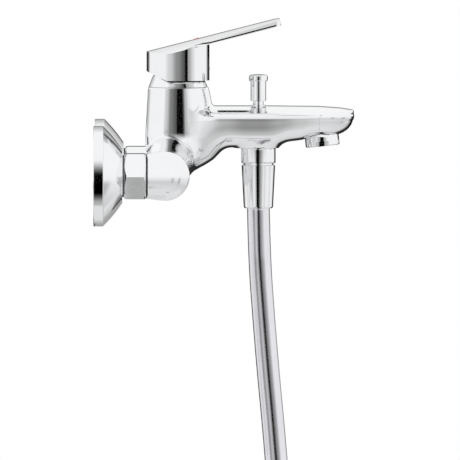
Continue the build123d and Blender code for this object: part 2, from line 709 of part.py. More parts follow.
NUT_TOP = 5.4
CONE_NUT = 30.3            # length of a hose nut
NUT_BOTTOM = NUT_TOP - CONE_NUT
HOSE_LENGTH = 1500.0       # over both nuts
TURNS = 2
COIL_R = 82.0              # at the middle of its turns
COIL_Y = -129.5            # depth of the coil's first turn
COIL_Z = -384.0            # height of the coil's centre
SECOND_Y = COIL_Y + 16.5   # depth of the second turn, behind the first
TAIL_Y = SECOND_Y + 20.5   # depth of the tail, behind the second turn
HOSE_ROUTE = [
    (0.0, -114.5, NUT_BOTTOM), (0.0, -115.2, -60.0), (0.0, -118.1, -100.0),
    (0.0, -121.2, -138.0), (0.0, -124.6, -173.0), (0.0, -128.3, -217.0),
    (-21.5, -129.5, -262.1), (-60.4, -129.5, -293.6), (-82.0, -129.5, -338.7),
    (-82.0, -129.4, COIL_Z)]
# The tail leaves the second turn at the top, drops behind it and hangs down at the left.
TAIL_ROUTE = [
    (22.0, SECOND_Y, COIL_Z + 82.0), (-22.0, SECOND_Y + 0.5, COIL_Z + 82.0),
    (-60.0, SECOND_Y + 10.5, COIL_Z + 60.0), (-82.0, TAIL_Y, COIL_Z + 22.0)]


SEAL_R = 10.2              # of the hose washer
FLANGE_TOP = -10.9         # height of the insert's flange, under the washer
FLANGE_LOW = -12.8


def cone_nut():
    """Slightly conical hose nut with a G1/2 thread, built downwards from its open end."""
    wide_r, narrow_r = 11.7, 10.2
    outside = turned([
        (0, 0), (wide_r - 0.5, 0), (wide_r, -0.5), (narrow_r + 0.05, -CONE_NUT + 0.9),
        (narrow_r - 0.6, -CONE_NUT), (0, -CONE_NUT)])
    thread = rod(WALL_THREAD_R + THREAD_GAP, OUTLET_TIP - NUT_TOP, 1)
    relief = rod(SEAL_R + 0.2, FLANGE_LOW - 0.1, 0)
    return outside - thread - relief - rod(HOSE_R + 0.15, -CONE_NUT - 1, 0)


def hose_insert():
    """Flanged tail that the hose is pressed on, inside its nut."""
    flange = rod(SEAL_R + 0.1, FLANGE_LOW, FLANGE_TOP)
    return flange + rod(HOSE_R, -CONE_NUT, -12.0) - rod(3.5, -CONE_NUT - 1, 0)


def hose_washer():
    return ring(SEAL_R, 4.5, FLANGE_TOP, OUTLET_TIP - NUT_TOP)


def corner_radii(points):
    """Largest tangent arcs that the runs of a route leave room for."""
    radii = []
    for before, corner, after in zip(points, points[1:], points[2:]):
        run_in = Vector(*corner) - Vector(*before)
        run_out = Vector(*after) - Vector(*corner)
        half_turn = math.radians(run_in.get_angle(run_out)) / 2
        radii.append(0.45 * min(run_in.length, run_out.length) / math.tan(half_turn))
    return radii


def route_path(points):
    return FilletPolyline(*points, radius=corner_radii(points))


def hose_along(points):
    """Hose along a route: straight runs joined by tangent arcs."""
    path = route_path(points)
    section = Plane(origin=path @ 0, z_dir=path % 0) * Circle(HOSE_R)
    hose = sweep(section, path=path)
    expected = math.pi * HOSE_R ** 2 * path.length
    radii = [round(radius) for radius in corner_radii(points)]
    print("hose radii", radii, "length", round(path.length, 1),
          "volume over section times length", round(hose.volume / expected, 4))
    return hose


def tail_end():
    """Height where the hose ends in its far nut, from the hose's whole length."""
    turns = TURNS * 2 * math.pi * COIL_R
    hanging = route_path(HOSE_ROUTE).length
    return COIL_Z - (HOSE_LENGTH - 2 * CONE_NUT - hanging - turns)


def shower_hose():
    """The stretch that hangs from the outlet down to the coil."""
    return hose_along(HOSE_ROUTE)


def hose_tail():
    """The last stretch, from the coil's top to the far nut."""
    return hose_along(TAIL_ROUTE + [(-COIL_R, TAIL_Y + 0.1, tail_end())])


def hose_coil():
    """Outer shape of the two coiled turns, side by side."""
    coil = ring(COIL_R + HOSE_R, COIL_R - HOSE_R, -SECOND_Y - HOSE_R, HOSE_R - COIL_Y)
    coil = fillet(coil.edges().filter_by(GeomType.CIRCLE), 6.0)
    return Pos(0, 0, COIL_Z) * Rot(90, 0, 0) * coil


def hose_tie():
    """Strap round both turns at the right of the coil."""
    wall, gap, width = 1.2, 0.3, 12.0
    inner_x = 2 * (HOSE_R + gap)
    inner_y = SECOND_Y - COIL_Y + inner_x
    outer = Box(inner_x + 2 * wall, inner_y + 2 * wall, width)
    outer = fillet(outer.edges().filter_by(Axis.Z), 3.0)
    inner = Box(inner_x, inner_y, width + 2)
    strap = outer - fillet(inner.edges().filter_by(Axis.Z), 1.8)
    return Pos(COIL_R, (COIL_Y + SECOND_Y) / 2, COIL_Z) * strap


def far_end(shape):
    """Put a part built for the near nut on the hose's far end, the other way up."""
    return Pos(-COIL_R, TAIL_Y + 0.1, tail_end() - CONE_NUT) * Rot(180, 0, 0) * shape


def main():
    os.makedirs("parts", exist_ok=True)
    for side, x in SIDES:
        write(side + "_wall_union", off_wall(wall_union(), x))
        write(side + "_escutcheon", off_wall(escutcheon(), x))
        write(side + "_union_nut", off_wall(union_nut(), x))
        write(side + "_filter_washer", off_wall(filter_washer(), x))
        write(side + "_inlet_nipple", off_wall(inlet_nipple(), x))
        write(side + "_check_housing", in_nipple(check_housing(INLET_CHECK_R), x))
        write(side + "_check_poppet", in_nipple(check_poppet(INLET_CHECK_R), x))
        write(side + "_check_spring", in_nipple(check_spring(), x))
    write("mixer_body", mixer_body())
    for make in (
            cartridge_base, cartridge_base_seals, fixed_ceramic_disc, moving_ceramic_disc,
            disc_carrier, cartridge_housing, swivel_guide, temperature_stop_ring, spindle,
            spindle_pin, cartridge_retaining_nut, dome_collar, lever_handle, index_button,
            handle_grub_screw, handle_screw_plug, diverter_knob, diverter_rod, diverter_bush, diverter_o_rings,
            diverter_plunger, diverter_washers, diverter_spring, shower_outlet_nipple,
            shower_nipple_o_ring, aerator_housing, aerator_insert, aerator_screens,
            aerator_washer, shower_hose, hose_coil, hose_tail, hose_tie):
        write(make.__name__, make())
    write("shower_check_housing", in_shower_outlet(check_housing(SHOWER_CHECK_R)))
    write("shower_check_poppet", in_shower_outlet(check_poppet(SHOWER_CHECK_R)))
    write("shower_check_spring", in_shower_outlet(check_spring()))
    near_end = Pos(0, OUTLET_Y, NUT_TOP)
    for name, make in (("nut", cone_nut), ("insert", hose_insert), ("washer", hose_washer)):
        write("hose_upper_" + name, near_end * make())
        write("hose_far_" + name, far_end(make()))


main()
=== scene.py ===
import json
import math
import bpy
import numpy as np
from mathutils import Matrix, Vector


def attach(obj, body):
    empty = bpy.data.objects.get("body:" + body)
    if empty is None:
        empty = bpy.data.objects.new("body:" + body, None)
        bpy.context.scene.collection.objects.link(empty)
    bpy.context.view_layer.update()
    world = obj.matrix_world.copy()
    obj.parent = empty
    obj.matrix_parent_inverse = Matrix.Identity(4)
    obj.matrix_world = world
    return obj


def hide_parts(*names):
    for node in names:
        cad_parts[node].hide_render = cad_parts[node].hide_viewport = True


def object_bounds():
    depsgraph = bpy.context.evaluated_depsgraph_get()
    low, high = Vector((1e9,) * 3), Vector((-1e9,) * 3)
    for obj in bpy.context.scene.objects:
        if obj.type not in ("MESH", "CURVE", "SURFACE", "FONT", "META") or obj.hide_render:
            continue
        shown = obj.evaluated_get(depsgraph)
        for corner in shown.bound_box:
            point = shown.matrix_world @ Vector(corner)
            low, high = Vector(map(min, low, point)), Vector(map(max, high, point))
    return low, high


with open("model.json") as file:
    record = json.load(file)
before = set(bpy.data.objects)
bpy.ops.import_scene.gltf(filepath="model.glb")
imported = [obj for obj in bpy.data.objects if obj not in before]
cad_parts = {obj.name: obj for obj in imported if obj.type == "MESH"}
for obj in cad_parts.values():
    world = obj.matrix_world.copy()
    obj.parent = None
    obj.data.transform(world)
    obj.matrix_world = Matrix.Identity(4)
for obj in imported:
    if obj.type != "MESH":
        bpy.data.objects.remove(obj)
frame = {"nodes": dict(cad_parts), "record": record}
cad_low, cad_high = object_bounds()
nodes = frame["nodes"]

MM = 0.001
LIFT = 6.0            # mm, from the height of the union nuts to that of the row frame


def at(x, y, z):
    """A point given in mm round the height of the union nuts, in the row frame in metres."""
    return (x * MM, y * MM, (z + LIFT) * MM)


# ---- Camera: level with the faucet, from its hot side, from far off

CAMERA_TARGET = Vector((0.0, -0.0947, -0.0342))
CAMERA_DISTANCE = 13.4
CAMERA_ELEVATION = math.radians(2.2)
SENSOR_WIDTH = 36.0
LENS = 1503.0
camera_data = bpy.data.cameras.new("camera")
camera_data.sensor_width = SENSOR_WIDTH
camera_data.lens = LENS
camera_data.clip_start = 1.0
camera_data.clip_end = 100.0
camera = bpy.data.objects.new("camera", camera_data)
back = Vector((-math.cos(CAMERA_ELEVATION), 0.0, math.sin(CAMERA_ELEVATION)))
camera.location = CAMERA_TARGET + back * CAMERA_DISTANCE
camera.rotation_mode = "QUATERNION"
camera.rotation_quaternion = (-back).to_track_quat("-Z", "Y")
bpy.context.scene.collection.objects.link(camera)
bpy.context.scene.camera = camera

# ---- Shower hose: a free cord of 1.44 m between its two nuts, put away in two turns

HOSE_R = 8.0
COIL_R = 82.0
COIL_Y = -129.5
COIL_Z = -384.0
SECOND_Y = -113.0     # of the coil's second turn, behind the first
CROSSING = 0.72       # turns before the hose starts to cross to the second turn
TAIL_END = -407.8
COIL_POINTS = 14      # in each turn
COIL_SWELL = 1.02     # the spline runs inside its control points by this much
HANGING = [
    (0.0, -114.5, -24.9), (0.0, -115.2, -60.0), (0.0, -118.1, -100.0),
    (0.0, -121.2, -138.0), (0.0, -124.6, -173.0), (0.0, -128.3, -217.0),
    (-21.5, -129.5, -262.1), (-60.4, -129.5, -293.6), (-82.0, -129.5, -338.7)]
TAIL = [
    (-22.0, -112.5, -302.0), (-60.0, -102.5, -324.0), (-82.0, -92.5, -362.0),
    (-82.0, -92.4, TAIL_END)]


def coil_points():
    """One and three quarter turns: down at the left, forward turn first, then behind it."""
    points = []
    for step in range(COIL_POINTS * 7 // 4 + 1):
        turn = step / COIL_POINTS
        angle = math.pi + 2 * math.pi * turn
        across = min(max((turn - CROSSING) / (1.0 - CROSSING), 0.0), 1.0)
        across = across * across * (3 - 2 * across)
        y = COIL_Y + (SECOND_Y - COIL_Y) * across
        radius = COIL_R * COIL_SWELL
        points.append((radius * math.cos(angle), y, COIL_Z + radius * math.sin(angle)))
    return points


def make_hose():
    data = bpy.data.curves.new("hose_line", "CURVE")
    data.dimensions = "3D"
    route = HANGING + coil_points() + TAIL
    spline = data.splines.new("NURBS")
    spline.points.add(len(route) - 1)
    for point, place in zip(spline.points, route):
        point.co = (*at(*place), 1.0)
        point.radius = HOSE_R * MM
    spline.order_u = 3
    spline.use_endpoint_u = True
    spline.resolution_u = 14
    data.bevel_depth = 1.0
    data.bevel_resolution = 9
    data.use_fill_caps = True
    return bpy.data.objects.new("shower_hose_line", data)


hose = make_hose()
bpy.context.scene.collection.objects.link(hose)
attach(hose, "faucet")
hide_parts("shower_hose", "hose_coil", "hose_tail")

# ---- Skin of the cast body: one smooth surface, cast in one with its soft fillets

COLUMN_Y = -58.5
OUTLET_Y = -114.5
AERATOR_Y = -158.7
AERATOR_Z = 25.4
AERATOR_TILT = math.radians(6.0)
INLET_X = 75.0
CELL = 0.75           # mm, of the grid that the skin is drawn on
TABLE_STEP = 0.5      # mm, between the points of a smoothed curve


def soft_min(a, b, k):
    """Union of two bodies with a fillet of about k mm."""
    h = np.maximum(k - np.abs(a - b), 0.0) / k
    return np.minimum(a, b) - h * h * k * 0.25


def soft_max(a, b, k):
    """Shape inside both bodies with an edge rounded by about k mm."""
    return -soft_min(-a, -b, k)


def smooth_table(pairs, spread):
    """Curve through (y, value) pairs, rounded off over about the given spread in mm."""
    ys = np.arange(-200.0, -20.0, TABLE_STEP)
    given = sorted(pairs)
    values = np.interp(ys, [p[0] for p in given], [p[1] for p in given])
    sigma = spread / 2
    reach = int(4 * sigma / TABLE_STEP)
    kernel = np.exp(-0.5 * (np.arange(-reach, reach + 1) * TABLE_STEP / sigma) ** 2)
    padded = np.pad(values, reach, mode="edge")
    return ys, np.convolve(padded, kernel / kernel.sum(), mode="valid")


HALF_WIDTH = 24.8     # of the spout
OUTLET_LOW = 17.1     # height of the underside round the shower outlet
# Along the spout, by y: height of its underside, height of its top, and half its width
FLOOR = smooth_table([
    (-40.0, -10.0), (-58.0, -3.0), (-64.7, 1.8), (-69.1, 5.0), (-74.8, 8.8), (-82.8, 13.4),
    (-88.0, 16.2), (-92.0, 17.3), (-97.0, 17.6), (-103.0, 17.3), (-106.0, OUTLET_LOW),
    (-124.0, OUTLET_LOW), (-127.5, 18.0), (-130.8, 19.9), (-134.9, 21.5), (-138.8, 22.0),
    (-145.3, 22.8), (-150.8, 25.0), (-157.5, 25.6), (-168.0, 25.0), (-190.0, 25.0)], 2.6)
RIDGE = smooth_table([
    (-40.0, 46.8), (-120.0, 46.8), (-156.8, 46.4), (-172.0, 45.3), (-179.9, 44.0), (-190.0, 42.0)], 2.0)
WIDTH = smooth_table([
    (-200.0, HALF_WIDTH), (-84.0, HALF_WIDTH), (-77.0, 22.8), (-70.0, 18.0), (-62.0, 11.0),
    (-40.0, 8.0)], 5.0)
BOWL_POWER = 2.45     # of the oval across the spout, a little squarer than an ellipse
RIM_LOW = 40.6        # height that the bowl under the plate is drawn round
PLATE_LOW = 37.5      # height of the plate's underside
PLATE_REAR = -77.5    # where the plate ends, inside the column
PLATE_CORNER_R = 11.0
NOSE_Y = -156.9       # middle of the half-round end of the spout
NOSE_R = 23.9
CROWN_R = 57.7        # of the plate's top, across the spout
COLUMN_TOP = 59.6
COLUMN_HEIGHTS = (0.0, 10.0, 25.0, COLUMN_TOP)
COLUMN_RADII = (20.5, 22.2, 22.9, 20.9)
ARM_Y = -50.3         # axis of the arms
ARM_R = 14.0          # of an arm, away from the column
ARM_RISE = 5.0        # of the arm's axis at the column
SOCKET_R = 15.4
SOCKET_Y = -49.1      # middle of the domed end
SOCKET_FACE = -37.25


def column_field(x, y, z):
    """Barrel shaped column, fuller at the front towards its foot."""
    radius = np.interp(z, COLUMN_HEIGHTS, COLUMN_RADII)
    flare = 0.4 + 2.2 * np.clip((COLUMN_TOP - z) / 15.0, 0.0, 1.2)
    ahead = np.where(y < COLUMN_Y, (y - COLUMN_Y) * radius / (radius + flare), y - COLUMN_Y)
    side = np.hypot(x, ahead) - radius
    return soft_max(soft_max(side, z - COLUMN_TOP, 0.8), 7.0 - z, 12.0)


def arm_field(x, y, z):
    """Both arms: round at the sockets, taller, deeper and raised where they meet the column."""
    inner = 1.0 / (1.0 + (np.abs(x) / 36.0) ** 4)
    depth_r = ARM_R + 3.5 * inner
    height_r = ARM_R + 7.8 * inner
    middle = ARM_Y - 2.0 * inner
    rise = ARM_RISE * inner
    front_low = np.where(y < middle, np.clip((ARM_RISE - z) / 20.0, 0.0, 1.0), 0.0) * inner
    dy = (y - middle) / (depth_r * (1.0 - 0.5 * front_low))
    dz = (z - rise) / np.where(z < rise, height_r - 3.5 * inner, height_r)
    oval = np.hypot(dy, dz)
    return np.maximum((oval - 1.0) * np.minimum(depth_r, height_r), np.abs(x) - INLET_X)


def socket_field(x, y, z):
    """Sockets that the inlet nipples screw into, each closed by a dome at the front."""
    side = np.hypot(np.abs(x) - INLET_X, z)
    dome = np.where(y < SOCKET_Y, np.hypot(side, y - SOCKET_Y), side) - SOCKET_R
    return soft_max(dome, y - SOCKET_FACE, 1.2)


def bowl_field(x, y, z):
    """Under part of the spout: oval bowl whose depth follows the underside."""
    floor = np.interp(y, *FLOOR)
    reach = np.where(y < NOSE_Y, np.hypot(x, y - NOSE_Y) * HALF_WIDTH / NOSE_R, np.abs(x))
    width = np.interp(y, *WIDTH)
    depth = np.maximum(RIM_LOW - floor, 4.0)
    below = np.minimum(z - RIM_LOW, 0.0) / depth
    oval = ((reach / width) ** BOWL_POWER + np.abs(below) ** BOWL_POWER) ** (1 / BOWL_POWER)
    bowl = (oval - 1.0) * np.minimum(width, depth)
    return np.maximum(bowl, y - COLUMN_Y - 2.0)


def plate_plan(x, y):
    """Distance inside the plate's outline: rounded rear corners, half-round nose."""
    middle, half_length = (PLATE_REAR + NOSE_Y) / 2, (PLATE_REAR - NOSE_Y) / 2
    qx = np.abs(x) - (HALF_WIDTH - PLATE_CORNER_R)
    qy = np.abs(y - middle) - (half_length - PLATE_CORNER_R)
    box = np.hypot(np.maximum(qx, 0), np.maximum(qy, 0)) + np.minimum(np.maximum(qx, qy), 0)
    box = box - PLATE_CORNER_R
    nose = np.hypot(x, y - NOSE_Y) - NOSE_R - 0.3
    strip = np.maximum(np.abs(x) - HALF_WIDTH, np.abs(y + 130.0) - 27.0)
    return np.minimum(np.minimum(box, nose), strip)


def plate_field(x, y, z):
    """Crowned plate along the top of the spout, a little proud of the bowl at the nose."""
    reach = np.minimum(np.abs(x), 30.0)
    top = np.interp(y, *RIDGE) + np.sqrt(CROWN_R ** 2 - reach ** 2) - CROWN_R
    slab = soft_max((z - top) * 0.93, plate_plan(x, y), 1.5)
    return soft_max(slab, PLATE_LOW - z, 2.0)


BOSS_R = 12.05        # shower outlet
BOSS_LOW = 6.6
INSIDE = 30.0         # a height that is inside the spout


def bores(x, y, z):
    """Mouths of the bores: cartridge, inlets, shower outlet, diverter bush and aerator."""
    from_outlet = np.hypot(x, y - OUTLET_Y)
    yield np.maximum(np.hypot(x, y - COLUMN_Y) - 19.0, 30.0 - z)
    yield np.maximum(np.hypot(np.abs(x) - INLET_X, z) - 10.5, ARM_Y - y)
    yield np.maximum(from_outlet - 9.7, z - 21.6)
    yield np.maximum(from_outlet - 4.95, 40.0 - z)
    dy, dz = y - AERATOR_Y, z - AERATOR_Z
    along = dz * math.cos(AERATOR_TILT) - dy * math.sin(AERATOR_TILT)
    across = np.hypot(x, dy * math.cos(AERATOR_TILT) + dz * math.sin(AERATOR_TILT))
    yield np.maximum(across - 10.8, np.abs(along) - 7.6)


def body_field(x, y, z):
    """Signed distance, nearly, to the outside of the casting in mm."""
    bowl = np.maximum(bowl_field(x, y, z), z - PLATE_LOW - 2.0)
    from_outlet = np.hypot(x, y - OUTLET_Y)
    foot = np.maximum(np.maximum(from_outlet - 11.8, OUTLET_LOW - z), z - INSIDE)
    bowl = np.maximum(soft_min(bowl, foot, 8.0), np.where(from_outlet < 20.0, OUTLET_LOW - z, -9.0))
    arms = soft_min(arm_field(x, y, z), socket_field(x, y, z), 9.0)
    low = soft_min(arms, bowl, 7.0)
    front = np.clip((-58.0 - y) / 14.0, 0.0, 1.0)
    body = soft_min(column_field(x, y, z), low, 2.0 + 9.0 * front)
    body = soft_min(body, plate_field(x, y, z), 1.4)
    boss = soft_max(from_outlet - BOSS_R, BOSS_LOW - z, 0.8)
    body = np.minimum(body, np.maximum(boss, z - INSIDE))
    for bore in bores(x, y, z):
        body = np.maximum(body, -bore)
    return body


def net_surface(field, low, high, cell):
    """Closed mesh on a field's zero level: one vertex per crossed cell, one face per crossed edge."""
    axes = [np.arange(low[i], high[i] + cell, cell) for i in range(3)]
    grid = np.meshgrid(*axes, indexing="ij")
    value = field(*grid)
    inside = value < 0
    shape = np.array(value.shape) - 1
    total = np.zeros((*shape, 3))
    count = np.zeros(shape)
    corner = [(i, j, k) for i in (0, 1) for j in (0, 1) for k in (0, 1)]

    def part(a, offset):
        return a[tuple(slice(o, o + n) for o, n in zip(offset, shape))]

    for a in corner:
        for axis in range(3):
            if a[axis]:
                continue
            b = tuple(1 if i == axis else a[i] for i in range(3))
            va, vb = part(value, a), part(value, b)
            crossed = (va < 0) != (vb < 0)
            t = np.where(crossed, va / np.where(crossed, va - vb, 1.0), 0.0)
            for i in range(3):
                total[..., i] += np.where(crossed, a[i] + (t if i == axis else 0.0), 0.0)
            count += crossed
    used = count > 0
    index = np.full(shape, -1)
    index[used] = np.arange(used.sum())
    cells = np.argwhere(used)
    vertices = np.array(low) + cell * (cells + total[used] / count[used][:, None])
    faces = []
    for axis in range(3):
        u, v = (axis + 1) % 3, (axis + 2) % 3
        here = [slice(1, -1)] * 3
        here[axis] = slice(0, -1)
        there = list(here)
        there[axis] = slice(1, None)
        a, b = inside[tuple(here)], inside[tuple(there)]
        offset = np.array([0 if i == axis else 1 for i in range(3)])
        for flag, flip in ((a & ~b, False), (~a & b, True)):
            base = np.argwhere(flag) + offset
            ring = []
            for du, dv in ((-1, -1), (0, -1), (0, 0), (-1, 0)):
                spot = base.copy()
                spot[:, u] += du
                spot[:, v] += dv
                ring.append(index[spot[:, 0], spot[:, 1], spot[:, 2]])
            if flip:
                ring.reverse()
            faces.append(np.stack(ring, axis=1))
    return vertices, np.concatenate(faces)


def slope(field, points, step=0.05):
    """Gradient of a field at the points, from differences over twice the step."""
    parts = []
    for axis in range(3):
        shift = np.zeros(3)
        shift[axis] = step
        parts.append((field(*(points + shift).T) - field(*(points - shift).T)) / (2 * step))
    return np.stack(parts, axis=1)


def make_skin():
    """Mesh of the casting, pulled on to the field and shaded by the field's own gradient."""
    vertices, faces = net_surface(body_field, (-93.0, -184.0, -19.5), (93.0, -34.5, 62.0), CELL)
    for _ in range(3):
        gradient = slope(body_field, vertices)
        size = np.maximum((gradient ** 2).sum(1), 0.2)
        move = gradient * (body_field(*vertices.T) / size)[:, None]
        length = np.linalg.norm(move, axis=1)[:, None]
        vertices = vertices - move * np.minimum(1.0, 0.45 * CELL / np.maximum(length, 1e-9))
    normals = slope(body_field, vertices, 0.25)
    normals /= np.maximum(np.linalg.norm(normals, axis=1), 1e-9)[:, None]
    mesh = bpy.data.meshes.new("body_skin")
    placed = (vertices + np.array([0.0, 0.0, LIFT])) * MM
    mesh.from_pydata(placed.tolist(), [], faces.tolist())
    mesh.validate()
    mesh.shade_smooth()
    mesh.normals_split_custom_set_from_vertices(normals.tolist())
    skin = bpy.data.objects.new("body_skin", mesh)
    bpy.context.scene.collection.objects.link(skin)
    return skin


skin = make_skin()
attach(skin, "faucet")
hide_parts("mixer_body")

# ---- Black rings at both ends of the union nuts: a thin one against each socket face, and one in each gap by a cover plate, a painted shadow

RING_SIDES = 48


def make_ring(name, x, near, far, outer, inner):
    """Flat ring round an inlet's axis, from y near to y far in mm."""
    points = []
    for y, radius in ((near, outer), (far, outer), (far, inner), (near, inner)):
        for step in range(RING_SIDES):
            angle = 2 * math.pi * step / RING_SIDES
            points.append(at(x + radius * math.cos(angle), y, radius * math.sin(angle)))
    faces = []
    for band in range(4):
        for step in range(RING_SIDES):
            here, there = band * RING_SIDES, (band + 1) % 4 * RING_SIDES
            after = (step + 1) % RING_SIDES
            faces.append((here + step, here + after, there + after, there + step))
    mesh = bpy.data.meshes.new(name)
    mesh.from_pydata(points, [], faces)
    made = bpy.data.objects.new(name, mesh)
    bpy.context.scene.collection.objects.link(made)
    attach(made, "faucet")
    return made


rings = []
for label, x in (("hot", -INLET_X), ("cold", INLET_X)):
    rings.append(make_ring(label + "_socket_face_ring", x, -37.2, -36.75, 15.4, 13.0))
    # painted shadow: black ring filling the gap between the union nut and the cover plate
    rings.append(make_ring(label + "_cover_gap_shadow", x, -21.2, -20.2, 14.6, 13.4))

# ---- Materials

CLOUD_SCALE = 45.0                 # of the slow change in colour, per metre
MIDDLE_OF_NOISE = (0.3, 0.7)       # the stretch of a noise that is spread over the whole range
FACING_RANGE = (0.5, 0.82)         # painted edge shade: edges darken from the first to the second Facing value


def map_range(tree, value, from_range, to_range):
    made = tree.nodes.new("ShaderNodeMapRange")
    for key, number in zip(("From Min", "From Max", "To Min", "To Max"), (*from_range, *to_range)):
        made.inputs[key].default_value = number
    tree.links.new(value, made.inputs["Value"])
    return made.outputs["Result"]


def noise(tree, scale, detail):
    made = tree.nodes.new("ShaderNodeTexNoise")
    made.inputs["Scale"].default_value = scale
    made.inputs["Detail"].default_value = detail
    place = tree.nodes.new("ShaderNodeTexCoord")
    tree.links.new(place.outputs["Object"], made.inputs["Vector"])
    return made.outputs["Fac"]


def darken_edges(tree, colour, amount):
    """Painted shade: dims a colour by the given amount where the surface turns away."""
    view = tree.nodes.new("ShaderNodeLayerWeight")
    view.inputs["Blend"].default_value = 0.5
    darker = tree.nodes.new("ShaderNodeVectorMath")
    darker.operation = "SCALE"
    tree.links.new(colour, darker.inputs[0])
    dim = map_range(tree, view.outputs["Facing"], FACING_RANGE, (1.0, 1.0 - amount))
    tree.links.new(dim, darker.inputs["Scale"])
    return darker.outputs["Vector"]


def material(name, colour, metallic, rough, grain=900.0, tone=0.05, rough_swing=0.3, bump=0.03,
             bump_depth=0.00003, edge=0.0):
    """Principled shader with cloudy colour, uneven gloss and a fine grained surface, with painted shade
    darkening its edges by the edge amount.
    """
    made = bpy.data.materials.new(name)
    made.use_nodes = True
    tree = made.node_tree
    shader = tree.nodes["Principled BSDF"]
    shader.inputs["Metallic"].default_value = metallic
    cloud = noise(tree, CLOUD_SCALE, 3.0)
    fine = noise(tree, grain, 2.0)
    tint = tree.nodes.new("ShaderNodeValToRGB")
    for stop, position, scale in zip(tint.color_ramp.elements, MIDDLE_OF_NOISE, (1.0 - tone, 1.0 + tone)):
        stop.color = (*[min(1.0, c * scale) for c in colour], 1.0)
        stop.position = position
    tree.links.new(cloud, tint.inputs["Fac"])
    tone_out = tint.outputs["Color"]
    # edge: painted shade, darker colour where the surface turns away
    if edge:
        tone_out = darken_edges(tree, tone_out, edge)
    tree.links.new(tone_out, shader.inputs["Base Color"])
    gloss = map_range(tree, fine, MIDDLE_OF_NOISE, (rough * (1.0 - rough_swing), rough * (1.0 + rough_swing)))
    tree.links.new(gloss, shader.inputs["Roughness"])
    relief = tree.nodes.new("ShaderNodeBump")
    relief.inputs["Strength"].default_value = bump
    relief.inputs["Distance"].default_value = bump_depth
    tree.links.new(fine, relief.inputs["Height"])
    tree.links.new(relief.outputs["Normal"], shader.inputs["Normal"])
    return made


def chrome_plate(name, edge=0.0):
    return material(name, (0.90, 0.905, 0.915), 1.0, 0.09, grain=700.0, tone=0.015, bump=0.01,
                    bump_depth=0.00001, edge=edge)


chrome = chrome_plate("polished_chrome")
# chrome with painted shade darkening its edges, for the turned pieces and the lever
edge_shaded_chrome = chrome_plate("turned_chrome_painted_edge_shade", edge=0.8)
lever_chrome_painted_edge_shade = chrome_plate("lever_chrome_painted_edge_shade", edge=0.24)
brass = material("turned_brass", (0.72, 0.55, 0.28), 1.0, 0.3, tone=0.12, bump=0.3)
steel = material("satin_steel", (0.55, 0.55, 0.57), 1.0, 0.28, tone=0.08, bump=0.25)
rubber = material("black_rubber", (0.018, 0.018, 0.019), 0.0, 0.62, tone=0.25, bump=0.5, bump_depth=0.0001)
ceramic = material("lapped_ceramic", (0.82, 0.8, 0.76), 0.0, 0.22, tone=0.05, bump=0.1)
acetal = material("moulded_acetal", (0.66, 0.66, 0.63), 0.0, 0.42, tone=0.06, bump=0.3)
red_plastic = material("red_plastic", (0.55, 0.05, 0.04), 0.0, 0.4, tone=0.1, bump=0.3)
enamel = material("red_enamel", (0.75, 0.03, 0.05), 0.0, 0.25, tone=0.08, bump=0.1)
silver_plastic = material("silver_plug", (0.62, 0.63, 0.65), 0.6, 0.25, tone=0.05, bump=0.1)
strap = material("clear_strap", (0.75, 0.76, 0.78), 0.0, 0.35, tone=0.06, bump=0.3)
# satin hose, with painted shade darkening its edges
hose_skin = material("satin_hose_painted_edge_shade", (0.80, 0.79, 0.83), 1.0, 0.2, grain=1400.0, tone=0.02,
                     bump=0.02, bump_depth=0.00001, edge=0.6)
BY_SLOT = {"chrome": chrome, "brass": brass, "steel": steel, "rubber": rubber, "ceramic": ceramic,
           "valve_plastic": acetal, "stop_ring_plastic": red_plastic, "index_mark": enamel,
           "plug_plastic": silver_plastic, "hose": hose_skin, "tie": strap}
EDGE_SHADED_PIECES = ("diverter_knob", "diverter_rod", "diverter_bush", "aerator_housing", "hose_upper_nut",
                 "dome_collar", "shower_outlet_nipple", "hose_far_nut", "hot_escutcheon", "cold_escutcheon")
for entry in frame["record"]["subparts"]:
    slots = nodes[entry["node"]].data.materials
    slots.clear()
    slots.append(BY_SLOT[entry["material_slot"]])
for name in EDGE_SHADED_PIECES:
    nodes[name].data.materials[0] = edge_shaded_chrome
nodes["lever_handle"].data.materials[0] = lever_chrome_painted_edge_shade
for piece, made in ((skin, chrome), (hose, hose_skin), *[(ring, rubber) for ring in rings]):
    piece.data.materials.append(made)

# ---- Stage: pale floor well below, white room and wall, dark and white planes for the reflections


def flat(name, corners, made):
    mesh = bpy.data.meshes.new(name)
    mesh.from_pydata(corners, [], [tuple(range(len(corners)))])
    thing = bpy.data.objects.new(name, mesh)
    mesh.materials.append(made)
    bpy.context.scene.collection.objects.link(thing)
    return thing


def only_reflected(thing):
    """Hides a stage plane from everything but reflections."""
    thing.visible_camera = False
    thing.visible_diffuse = False
    thing.visible_shadow = False
    thing.visible_transmission = False


FLOOR_Z = cad_low.z - 0.004
FLOOR_REACH = 3.0
floor_paint = material("pale_floor", (0.82, 0.82, 0.82), 0.0, 0.7, grain=60.0, tone=0.02, bump=0.05)
floor = flat("floor", [(-FLOOR_REACH, -FLOOR_REACH, FLOOR_Z), (FLOOR_REACH, -FLOOR_REACH, FLOOR_Z),
                       (FLOOR_REACH, FLOOR_REACH, FLOOR_Z), (-FLOOR_REACH, FLOOR_REACH, FLOOR_Z)],
             floor_paint)
floor.visible_glossy = False


def ramp(tree, stops, value):
    """Smooth grey ramp through (position, grey) stops."""
    made = tree.nodes.new("ShaderNodeValToRGB")
    made.color_ramp.interpolation = "EASE"
    elements = made.color_ramp.elements
    elements.remove(elements[-1])
    elements[0].position = stops[0][0]
    elements[0].color = (*[stops[0][1]] * 3, 1.0)
    for position, grey in stops[1:]:
        elements.new(position).color = (grey, grey, grey, 1.0)
    tree.links.new(value, made.inputs["Fac"])
    return made.outputs["Color"]


